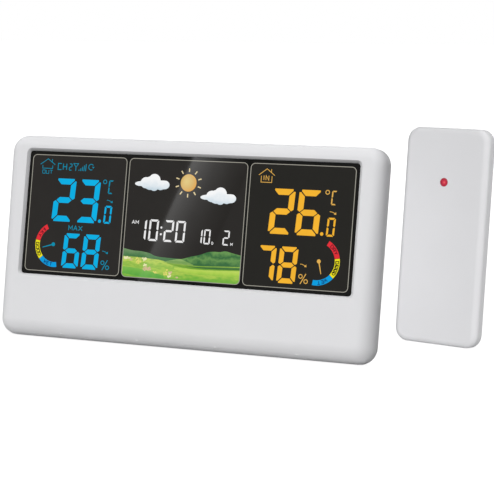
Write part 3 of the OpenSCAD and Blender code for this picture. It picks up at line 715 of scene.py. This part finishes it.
def panels():
    for side, (left, right) in PANELS.items():
        edge = rounded_box(left, right, PANEL_LOW, PANEL_HIGH, PANEL_CORNER)
        inner = rounded_box(left + PANEL_LINE, right - PANEL_LINE, PANEL_LOW + PANEL_LINE,
                            PANEL_HIGH - PANEL_LINE, PANEL_CORNER - PANEL_LINE)
        artwork(f"panel_{side}", [[inner]], PANEL_DEEP if side == "right" else PANEL, TINT)
        artwork(f"panel_line_{side}", [[edge, inner]], LINE, (TINT[0], TOP[1]))


# A side panel: big temperature, humidity under it, and the icons
TEMPERATURE = {"width": 11.1, "height": 20.4, "bar": 2.75, "pitch": 12.98, "split": 0.36}
HUMIDITY = {"width": 8.9, "height": 16.4, "bar": 2.25, "pitch": 10.5, "split": 0.36}
TENTHS = {"width": 3.85, "height": 8.4, "bar": 0.9}
TEMPERATURE_FOOT = -3.75
HUMIDITY_FOOT = -25.55


def house(left, right, apex, eaves, foot):
    """A roof line with a chimney, over an open-topped box."""
    line = 0.3
    centre = (left + right) / 2
    inset = 1.3
    chimney = right - 1.75
    shapes = [stroke([(left, eaves), (centre, apex), (right, eaves)], line)]
    shapes.append(stroke([(chimney, apex - 1.55), (chimney, apex - 0.1)], line))
    top = eaves - 0.35
    walls = [(left + inset, top), (left + inset, foot), (right - inset, foot), (right - inset, top)]
    shapes.append(stroke(walls, line))
    return shapes


def trend_arrow(x, v, length, drop):
    """A short curved line that falls to the right, with a head."""
    path = [(x + length * s, v - drop * s ** 2.2) for s in (0, 0.3, 0.6, 0.85)]
    tip = (x + length * 1.12, v - drop * 1.25)
    head = [tip, (tip[0] - 0.15, tip[1] + 1.15), (tip[0] - 1.15, tip[1] + 0.1)]
    return [stroke(path, 0.26), [head]]


def percent(x, v, size):
    high = v + size
    ring = size * 0.2
    shapes = [stroke([(x + size * 0.2, v), (x + size * 0.74, high)], 0.4)]
    for cx, cv in ((x + ring, high - ring * 1.35), (x + size * 0.96 - ring, v + ring * 1.35)):
        shapes.append([circle(cx, cv, ring + 0.1, 20), circle(cx, cv, ring - 0.28, 20)])
    return shapes


def side_readings(side, ink_material, fine_ink, temperature, temperature_x, humidity, humidity_x):
    shapes = number(temperature, temperature_x, TEMPERATURE_FOOT, **TEMPERATURE)
    artwork(f"{side}_temperature_digits", shapes, ink_material)
    shapes = number(humidity, humidity_x, HUMIDITY_FOOT, **HUMIDITY)
    artwork(f"{side}_humidity_digits", shapes, ink_material)
    after = temperature_x + TEMPERATURE["pitch"] * 2
    shapes = digit("0", after + 1.9, TEMPERATURE_FOOT + 0.15, split=0.22, **TENTHS)
    shapes.append([circle(after - 0.05, TEMPERATURE_FOOT + 1.15, 0.8, 20)])
    artwork(f"{side}_tenths", shapes, ink_material)
    shapes = [[circle(after + 1.35, 16.0, 1.05, 24), circle(after + 1.35, 16.0, 0.68, 24)]]
    shapes += digit("C", after + 3.2, 10.4, 2.5, 6.4, 0.6, split=0.14)
    shapes += trend_arrow(after + 3.0, 7.45, 2.8, 1.0)
    beyond = humidity_x + HUMIDITY["pitch"] * 2
    shapes += trend_arrow(beyond + 0.4, -16.5, 2.8, 1.0)
    shapes += percent(beyond + 0.1, -25.4, 4.7)
    artwork(f"{side}_unit_signs", shapes, fine_ink)


GAUGE_V = -14.9
GAUGE_R = 9.5
GAUGE_BAND = 2.35
GAUGE_STOPS = (
    (118.2, 169.6, "dry", RED, RED_WORD), (169.6, 221.7, "good", YELLOW, DARK),
    (221.7, 279.5, "wet", CYAN, CYAN_WORD),
)


def gauge(side, centre, mirrored):
    """Comfort scale: three bands on an arc, each with its word."""
    def angle(value):
        return 180 - value if mirrored else value

    for start, end, name, material, word_ink in GAUGE_STOPS:
        outer, inner = (arc(centre, GAUGE_V, GAUGE_R + reach, angle(start + 0.4), angle(end - 0.4))
                        for reach in (GAUGE_BAND / 2, -GAUGE_BAND / 2))
        artwork(f"{side}_gauge_{name}", [[outer + inner[::-1]]], material, SCENERY)
        middle_angle = math.radians(angle((start + end) / 2))
        text = name.upper()
        letter_w = 1.2
        space = 0.5
        run = len(text) * letter_w + (len(text) - 1) * space

        def bend(x, v, mean=middle_angle, half=run / 2):
            turn = mean + (half - x) / GAUGE_R if mirrored else mean + (x - half) / GAUGE_R
            radius = GAUGE_R + (v if mirrored else -v)
            return centre + radius * math.cos(turn), GAUGE_V + radius * math.sin(turn)

        words = word(text, 0, -0.7, letter_w, 1.4, 0.38, space, bend)
        artwork(f"{side}_gauge_word_{name}", words, word_ink)


def needle(side, x, v, tip, ink_material):
    """Pointer of the comfort scale: a round hub and a tapering hand."""
    hand = Vector((tip[0] - x, tip[1] - v)).normalized()
    across = Vector((-hand.y, hand.x))
    shoulder = Vector((x, v)) + hand * 0.8
    end = Vector(tip)
    outline = [shoulder + across * 0.3, end + across * 0.16, end - across * 0.16, shoulder - across * 0.3]
    shapes = [[circle(x, v, 0.92, 24)], [[tuple(point) for point in outline]]]
    artwork(f"{side}_gauge_needle", shapes, ink_material)


def left_panel():
    side_readings("outdoor", BLUE, BLUE_FINE, "23", -69.6, "68", -62.4)
    shapes = house(-77.8, -69.8, 25.75, 23.0, 21.2)
    shapes += word("OUT", -76.4, 18.75, 1.4, 1.6, 0.26, 0.6)
    shapes += word("CH", -68.1, 20.85, 1.85, 2.9, 0.38, 0.9)
    shapes += digit("2", -62.2, 20.6, 1.6, 3.3, 0.36, slant=2, split=0.08)
    artwork("outdoor_channel_icons", shapes, BLUE_FINE)
    shapes = [stroke([(-59.8, 24.0), (-57.2, 24.0), (-58.5, 22.3)], 0.28, closed=True)]
    shapes.append(stroke([(-58.5, 22.1), (-58.5, 20.6)], 0.34))
    for index in range(5):
        left = -57.0 + index * 0.9
        shapes.append([[(left, 20.6), (left + 0.38, 20.6), (left + 0.53, 21.2 + index * 0.68),
                        (left + 0.15, 21.2 + index * 0.68)]])
    shapes.append(stroke(arc(-50.3, 22.6, 1.35, 40, 300, 14), 0.32))
    shapes.append([[(-48.6, 22.8), (-49.8, 22.8), (-49.2, 21.9)]])
    artwork("outdoor_signal_icons", shapes, BLUE_FINE)
    artwork("maximum_mark", word("MAX", -59.8, -7.6, 1.95, 2.1, 0.32, 0.7), BLUE_FINE)
    gauge("outdoor", -66.5, False)
    needle("outdoor", -67.4, -14.8, (-73.2, -16.5), BLUE_FINE)


def right_panel():
    side_readings("indoor", ORANGE, ORANGE_FINE, "26", 41.95, "78", 37.3)
    shapes = house(35.6, 43.4, 25.3, 22.4, 19.2)
    shapes += word("IN", 37.5, 20.2, 1.4, 2.0, 0.32, 0.3)
    artwork("indoor_house_icon", shapes, ORANGE_FINE)
    gauge("indoor", 66.7, True)
    needle("indoor", 67.5, -14.8, (68.9, -20.4), ORANGE_FINE)


# ---------- The middle panel ----------
def painted(name, low, high, stops, scale, stretch):
    """Painted scenery: colours in soft drifts that change from low to high, lit from behind."""
    shader = Shader(name, UNDER_GLASS)
    drift = shader.noise(1, 3, place=shader.turned((TILT, 0, 0), (scale, scale, scale * stretch)))
    lift = shader.spread(shader.part("Z"), window_point(0, low).z, window_point(0, high).z, 0.0, 0.55)
    blend = shader.math("ADD", lift, shader.math("MULTIPLY", drift, 0.5))
    shader.set("Base Color", srgb(10, 14, 8))
    shader.link(shader.ramp(blend, *((at, srgb(*tone)) for at, tone in stops)), "Emission Color")
    shader.set("Emission Strength", 0.95)
    return shader.material


# Lobes of a cloud: centre and half sizes
CLOUD_LOBES = (
    (-6.8, -0.45, 2.7, 1.1), (-3.5, 0.15, 3.0, 2.7), (0.8, 1.35, 3.2, 3.2), (0.9, -1.4, 2.4, 2.2),
    (6.3, -0.5, 2.65, 2.1), (4.2, -1.4, 2.0, 1.7), (-1.2, -0.6, 3.4, 2.6), (3.4, 0.0, 2.4, 1.7),
    (-1.7, 1.1, 1.9, 2.1),
)
CLOUD_SIZE = 0.97


def cloud_outline(cx, cv):
    """The outer edge of overlapping round lobes, seen from the cloud's centre."""
    points = []
    steps = 96
    for step in range(steps):
        angle = math.tau * step / steps
        ray = (math.cos(angle), math.sin(angle))
        reach = 1.0
        for x, v, rx, rv in CLOUD_LOBES:
            a = (ray[0] / rx) ** 2 + (ray[1] / rv) ** 2
            b = ray[0] * x / rx ** 2 + ray[1] * v / rv ** 2
            c = (x / rx) ** 2 + (v / rv) ** 2 - 1
            root = b * b - a * c
            if root > 0:
                reach = max(reach, (b + math.sqrt(root)) / a)
        points.append((cx + ray[0] * reach * CLOUD_SIZE, cv + ray[1] * reach * CLOUD_SIZE))
    return points


def clouds():
    stops = ((0.12, (184, 206, 220)), (0.38, (224, 234, 241)), (0.62, (250, 251, 252)))
    for side, cx, cv in (("left", -17.35, 16.35), ("right", 16.65, 11.5)):
        material = painted(f"ink_cloud_{side}", cv - 3.6, cv + 4.5, stops, 260, 1.0)
        artwork(f"cloud_{side}", [[cloud_outline(cx, cv)]], material)


def sun():
    """A disc that shades from its upper left, with ten short rays."""
    sun_x = 0.95
    sun_v = 17.3
    rays = []
    for step in range(10):
        angle = math.radians(90 + 36 * step)
        along = Vector((math.cos(angle), math.sin(angle)))
        start = Vector((sun_x, sun_v)) + along * 5.05
        end = Vector((sun_x, sun_v)) + along * 6.7
        rays.append(stroke([tuple(start), tuple(end)], 0.55))
    artwork("sun_rays", rays, RAY)
    shader = Shader("ink_sun", UNDER_GLASS)
    offset = shader.vector("DISTANCE", window_point(sun_x - 0.8, sun_v + 0.6))
    reach = shader.math("DIVIDE", offset, 5.0 * MM)
    shader.set("Base Color", srgb(40, 24, 6))
    stops = ((0.1, srgb(216, 190, 114)), (0.6, srgb(210, 174, 98)), (0.98, srgb(220, 160, 66)))
    shader.link(shader.ramp(reach, *stops), "Emission Color")
    shader.set("Emission Strength", 1.0)
    artwork("sun_disc", [[circle(sun_x, sun_v, 4.0, 48)]], shader.material)


def ridge(points):
    """A soft line through the points."""
    line = []
    steps = 6
    for index in range(len(points) - 1):
        before = points[max(index - 1, 0)]
        first = points[index]
        second = points[index + 1]
        after = points[min(index + 2, len(points) - 1)]
        for step in range(steps):
            s = step / steps
            line.append(tuple(
                0.5 * (2 * p1 + (p2 - p0) * s + (2 * p0 - 5 * p1 + 4 * p2 - p3) * s ** 2
                       + (3 * p1 - p0 - 3 * p2 + p3) * s ** 3)
                for p0, p1, p2, p3 in zip(before, first, second, after)))
    return line + [points[-1]]


# The middle panel inside its line
EDGE = PANEL_SIDE - PANEL_LINE
FOOT = PANEL_LOW + PANEL_LINE
CORNER = PANEL_CORNER - PANEL_LINE


def hills():
    """The far hills on the left, and a nearer one on the right."""
    far = ridge([(-EDGE, -14.4), (-25, -15.2), (-20.5, -15.4), (-16.4, -16.0), (-13, -17.2), (-8, -17.6),
                 (2, -17.8)])
    far += [(2, -20.5), (-EDGE, -20.5)]
    stops = ((0.2, (58, 104, 66)), (0.5, (76, 124, 76)), (0.75, (112, 146, 100)))
    material = painted("ink_far_hills", -20, -14.5, stops, 300, 1.6)
    artwork("far_hills", [[far]], material, SCENERY)
    hill = ridge([(-6, -18.9), (1, -17.6), (5, -16.4), (9.2, -15.4), (13.4, -13.9), (16.5, -13.5),
                  (19.3, -13.5), (22.2, -13.0), (25.2, -13.6), (EDGE, -14.5)])
    hill += [(EDGE, -21.6), (-6, -21.0)]
    stops = ((0.1, (54, 102, 62)), (0.34, (62, 112, 66)), (0.48, (106, 152, 84)),
             (0.62, (56, 108, 64)), (0.8, (108, 156, 86)), (0.97, (64, 116, 68)))
    material = painted("ink_near_hill", -21, -13, stops, 300, 1.0)
    artwork("near_hill", [[hill]], material, (SCENERY[0], SCENERY[1] + 0.01))


def meadow():
    outline = ridge([(-EDGE, -18.0), (-25, -18.1), (-16.4, -18.5), (-10.5, -18.9), (-6, -19.8), (0, -20.3),
                     (9.2, -20.6), (20, -20.2), (EDGE, -19.9)])
    outline += arc(EDGE - CORNER, FOOT + CORNER, CORNER, 0, -90, 6)
    outline += arc(-EDGE + CORNER, FOOT + CORNER, CORNER, -90, -180, 6)
    stops = ((0.16, (104, 172, 64)), (0.32, (128, 184, 68)), (0.46, (176, 206, 84)),
             (0.58, (142, 188, 74)), (0.7, (188, 212, 92)), (0.84, (140, 176, 78)))
    material = painted("ink_meadow", FOOT, -18, stops, 230, 3.0)
    artwork("meadow", [[outline]], material, (FOREGROUND[0] - 0.02, FOREGROUND[1]))


# Drifts over the meadow: upper and lower line, colours from low to high, scale and stretch
FIELDS = {
    "field": (((-7, -19.5), (0, -20.15), (9.2, -20.45), (20, -20.05), (EDGE, -19.7)),
              ((-7, -20.2), (0, -21.5), (9.2, -22.0), (20, -21.8), (EDGE, -21.4)),
              ((96, 148, 50), (120, 166, 60), (160, 192, 84)), 300, 3.0),
    "valley": (((-8.2, -19.4), (-4.5, -18.5), (-0.5, -17.9), (2.6, -18.7), (6.5, -20.1)),
               ((-8.2, -19.6), (-4.5, -20.1), (-0.5, -20.2), (2.6, -20.3), (6.5, -20.4)),
               ((140, 172, 92), (116, 158, 84), (146, 180, 106)), 400, 2.0),
    "field_shadow": (((3, -20.8), (10, -20.9), (20, -20.45), (EDGE, -20.1)),
                     ((3, -20.9), (10, -21.45), (20, -21.4), (EDGE, -21.1)),
                     ((52, 100, 56), (64, 112, 62), (84, 130, 70)), 400, 3.0),
    "sunlit_grass": (((-3, -21.8), (6, -22.2), (16, -22.2), (EDGE, -21.6)),
                     ((-3, -22.6), (6, -24.2), (16, -24.4), (EDGE, -24.4)),
                     ((150, 196, 72), (178, 212, 84), (192, 218, 98)), 420, 0.6),
    "lush_grass": (((-EDGE + 0.4, -22.8), (-22, -23.3), (-14, -24.7), (-8, -26.0)),
                   ((-EDGE + 0.4, -26.1), (-22, -26.9), (-14, -27.2), (-8, -27.2)),
                   ((84, 164, 64), (106, 178, 70), (132, 190, 82)), 420, 0.6),
}


def fields():
    """Drifts of light and shade over the meadow, each a little higher than the last."""
    height = FOREGROUND[1] + 0.0003
    for name, (top, bottom, tones, scale, stretch) in FIELDS.items():
        height += 0.0003
        shape = ridge(top) + ridge(bottom)[::-1]
        heights = [v for _, v in shape]
        stops = tuple(zip((0.2, 0.5, 0.8), tones))
        material = painted(f"ink_{name}", min(heights), max(heights), stops, scale, stretch)
        artwork(name, [[shape]], material, (FOREGROUND[1], height))


# Clumps of blossom: centre, reach, number and colour, from the left
CLUMPS = (
    (-28.4, -18.8, 0.8, 18, "pale"), (-26.0, -19.6, 0.7, 6, "rose"), (-22.2, -19.2, 0.7, 8, "yellow"),
    (-21.3, -20.3, 0.8, 12, "yellow"), (-18.5, -18.9, 0.75, 14, "pale"), (-18.1, -21.6, 0.7, 10, "pale"),
    (-17.8, -23.4, 0.8, 9, "rose"), (-15.9, -23.4, 0.8, 12, "rose"), (-12.7, -24.8, 0.6, 6, "yellow"),
    (-7.2, -25.0, 1.0, 12, "yellow"), (-4.5, -24.3, 0.8, 12, "rose"), (-5.2, -25.8, 0.8, 8, "pale"),
    (-1.6, -26.4, 0.5, 4, "rose"),
)
BLOSSOM_COLOURS = {"pale": (236, 232, 182), "yellow": (230, 222, 116), "rose": (212, 186, 146)}


def blossom(x, v, size, turn):
    """Outline of a ragged five-petalled flower."""
    points = []
    for step in range(10):
        angle = math.radians(turn + step * 36)
        reach = size if step % 2 else size * 0.64
        points.append((x + math.cos(angle) * reach, v + math.sin(angle) * reach * 0.9))
    return points


def flowers():
    """Blossoms in clumps over the meadow's left half."""
    draw = random.Random(11)
    beds = {name: [] for name in BLOSSOM_COLOURS}
    for cx, cv, reach, count, name in CLUMPS:
        for bloom in range(count):
            x = max(-EDGE + 0.9, cx + draw.gauss(0, reach * 0.8))
            v = max(FOOT + 0.9, cv + draw.gauss(0, reach * 0.5))
            beds[name].append([blossom(x, v, draw.uniform(0.26, 0.6), draw.uniform(0, 70))])
    for name, shapes in beds.items():
        petals = ink(f"ink_{name}_flowers", BLOSSOM_COLOURS[name], 0.95, 0.12)
        artwork(f"flowers_{name}", shapes, petals, TOP)


def clock():
    time_foot = -10.35
    time_size = {"v": time_foot, "width": 4.8, "height": 10.0, "bar": 0.95, "slant": 2.0,
                 "split": 0.2}
    shapes = digit("1", x=-23.8, **time_size)
    for character, x in (("0", -17.65), ("2", -9.85), ("0", -3.85)):
        shapes += digit(character, x=x, **time_size)
    for v in (-3.9, -7.0):
        shapes.append([circle(-11.15, v, 0.5, 16)])
    artwork("clock_digits", shapes, WHITE)
    day_size = {"v": time_foot, "width": 3.2, "height": 6.8, "bar": 0.68, "slant": 2.0, "split": 0.15}
    shapes = digit("1", x=6.6, **day_size)
    for character, x in (("0", 10.6), ("2", 20.15)):
        shapes += digit(character, x=x, **day_size)
    shapes += word("D", 14.85, time_foot + 0.1, 0.7, 1.1, 0.24, 0)
    shapes += word("M", 24.25, time_foot + 0.1, 0.95, 1.1, 0.24, 0)
    artwork("date_digits", shapes, WHITE)
    artwork("morning_mark", word("AM", -26.5, -2.8, 1.45, 1.5, 0.26, 0.5), WHITE)


# ---------- Stage, light and camera ----------
# How the names of the sensor's nodes start
SENSOR_NAMES = ("sensor_", "channel_s", "pairing_")


def flat_mesh(name, corners, material):
    """One flat quad."""
    bm = bmesh.new()
    bm.faces.new([bm.verts.new(corner) for corner in corners])
    piece = new_piece(name, bm, material)
    return piece


def floor():
    """A plain pale floor that keeps a soft shadow near the set and fades into white further off."""
    shader = Shader("floor_white", 0.9, specular=0.0)
    grain = shader.noise(3, 2)
    shader.tint(grain, (0.3, grey(0.44)), (0.7, grey(0.46)))
    fade = shader.spread(shader.vector("LENGTH"), 0.15, 0.8, FLOOR_GLOW, 1.1)
    path = shader.nodes.new("ShaderNodeLightPath")
    shader.set("Emission Color", grey(1))
    shader.link(shader.math("MULTIPLY", path.outputs["Is Camera Ray"], fade), "Emission Strength")
    reach = 6.0
    corners = ((-reach, -reach, 0), (reach, -reach, 0), (reach, reach, 0), (-reach, reach, 0))
    return flat_mesh("floor", corners, shader.material)


def world_light():
    """Even white behind the scene, and softer light from it on the object."""
    world = bpy.data.worlds.new("studio")
    bpy.context.scene.world = world
    world.use_nodes = True
    nodes = world.node_tree.nodes
    links = world.node_tree.links
    path = nodes.new("ShaderNodeLightPath")

    def background(colour, strength):
        node = nodes.new("ShaderNodeBackground")
        node.inputs["Color"].default_value = colour
        node.inputs["Strength"].default_value = strength
        return node.outputs[0]

    light = background(grey(0.8), SOFT_LIGHT)
    for ray, colour, strength in (("Glossy", grey(0.8), GLOSS_LIGHT), ("Camera", grey(1), 1.0)):
        choice = nodes.new("ShaderNodeMixShader")
        links.new(path.outputs[f"Is {ray} Ray"], choice.inputs["Fac"])
        links.new(light, choice.inputs[1])
        links.new(background(colour, strength), choice.inputs[2])
        light = choice.outputs[0]
    links.new(light, nodes["World Output"].inputs["Surface"])


def group_of(name, objects):
    """A set of objects that a lamp lights, and that alone shade one another from it."""
    group = bpy.data.collections.new(name)
    for obj in objects:
        group.objects.link(obj)
    return group


def sky_panel(name, turn, rise, width, strength, group, own_shade=True):
    """A very wide, far light for one group; turn and rise, in degrees, say where it stands from -Y."""
    light = bpy.data.lights.new(name, "SUN")
    light.energy = strength
    light.angle = math.radians(width)
    lamp = in_scene(name, light)
    across = math.radians(turn)
    up = math.radians(rise)
    place = Vector((math.sin(across) * math.cos(up), -math.cos(across) * math.cos(up), math.sin(up)))
    lamp.rotation_euler = place.to_track_quat("Z", "Y").to_euler()
    lamp.visible_glossy = False
    lamp.light_linking.receiver_collection = group
    if own_shade:
        lamp.light_linking.blocker_collection = group


def area_light(name, place, aim, size, power):
    light = bpy.data.lights.new(name, "AREA")
    light.shape = "DISK"
    light.size = size
    light.energy = power
    lamp = in_scene(name, light)
    lamp.location = place
    lamp.rotation_euler = (Vector(aim) - Vector(place)).to_track_quat("-Z", "Y").to_euler()


SOFT_LIGHT = 0.08
GLOSS_LIGHT = 0.16
FLOOR_GLOW = 0.88


def lights(ground):
    console = []
    sensor = []
    for name, node in frame["nodes"].items():
        (sensor if name.startswith(SENSOR_NAMES) else console).append(node)
    console = group_of("lit_console", console)
    sensor = group_of("lit_sensor", sensor)
    sky_panel("main_console", 2, 25, 50, 2.0, console)
    sky_panel("left_console", -68, 20, 70, 0.66, console)
    sky_panel("low_console", 0, -38, 100, 0.98, console)
    sky_panel("main_sensor", 8, 15, 30, 2.07, sensor)
    sky_panel("side_sensor", 84, 10, 30, 0.7, sensor)
    sky_panel("low_sensor", 5, -38, 60, 0.85, sensor)
    sky_panel("back_console", -158, 32, 50, 1.6, console)
    sky_panel("back_sensor", -165, 24, 50, 1.9, sensor)
    sky_panel("over_the_floor", -10, 60, 120, 1.0, group_of("lit_floor", [ground]), False)
    area_light("top", (0.3, 0.2, 2.0), (0, 0, 0.05), 1.2, 7)


# A light card seen in the window: one sharp edge from the top to the foot, and a fade to its right
CARD_TOP = (2.4, 29.0)
CARD_FOOT = (-15.8, -15.5)
CARD_REACH = 30.0
CARD_FAR = 0.8
CARD_GLOW = 2.5


def mirrored(x, v):
    """Where the camera's view of the window's point x, v goes after its reflection."""
    point = window_point(x, v)
    ray = (point - LENS_FRONT - CAMERA_OFFSET).normalized()
    return point + (ray - 2 * ray.dot(OUT) * OUT) * CARD_FAR


def light_card():
    slope = (CARD_TOP[0] - CARD_FOOT[0]) / (CARD_TOP[1] - CARD_FOOT[1])
    half = LENS_H / MM / 2 + 1
    edge = [(CARD_TOP[0] + slope * (v - CARD_TOP[1]), v) for v in (half, -half)]
    corners = [mirrored(*edge[0]), mirrored(*edge[1]),
               mirrored(edge[1][0] + CARD_REACH, edge[1][1]), mirrored(edge[0][0] + CARD_REACH, edge[0][1])]
    shader = Shader("card_glow", 0.9, specular=0.0)
    along = (corners[1] - corners[0]).normalized()
    across = corners[3] - corners[0]
    across -= along * across.dot(along)
    shares = []
    for axis in (across / across.length_squared, along / (corners[1] - corners[0]).length):
        shares.append(shader.math("SUBTRACT", shader.vector("DOT_PRODUCT", axis), corners[0].dot(axis)))
    fade = shader.ramp(shares[0], (0.0, grey(1)), (0.18, grey(0.62)), (0.42, grey(0.28)),
                       (0.72, grey(0.09)), (1.0, grey(0)))
    fall = shader.spread(shares[1], 0.0, 0.9, CARD_GLOW, CARD_GLOW * 0.4)
    shader.set("Base Color", grey(0))
    shader.link(fade, "Emission Color")
    shader.link(fall, "Emission Strength")
    card = flat_mesh("light_card", corners, shader.material)
    card.visible_camera = False
    card.visible_diffuse = False
    card.visible_transmission = False
    card.visible_shadow = False


def camera():
    data = bpy.data.cameras.new("photo_camera")
    data.lens = CAMERA_LENS
    data.sensor_width = 36
    data.clip_start = 0.01
    eye = in_scene("photo_camera", data)
    eye.location = LENS_FRONT + CAMERA_OFFSET
    eye.rotation_euler = (math.radians(90 - CAMERA_DIP), 0, math.radians(CAMERA_TURN))
    bpy.context.scene.camera = eye


finish_cad_nodes()
panels()
left_panel()
right_panel()
clouds()
sun()
hills()
meadow()
fields()
flowers()
clock()
world_light()
lights(floor())
light_card()
camera()
bpy.context.scene.view_settings.view_transform = "Standard"
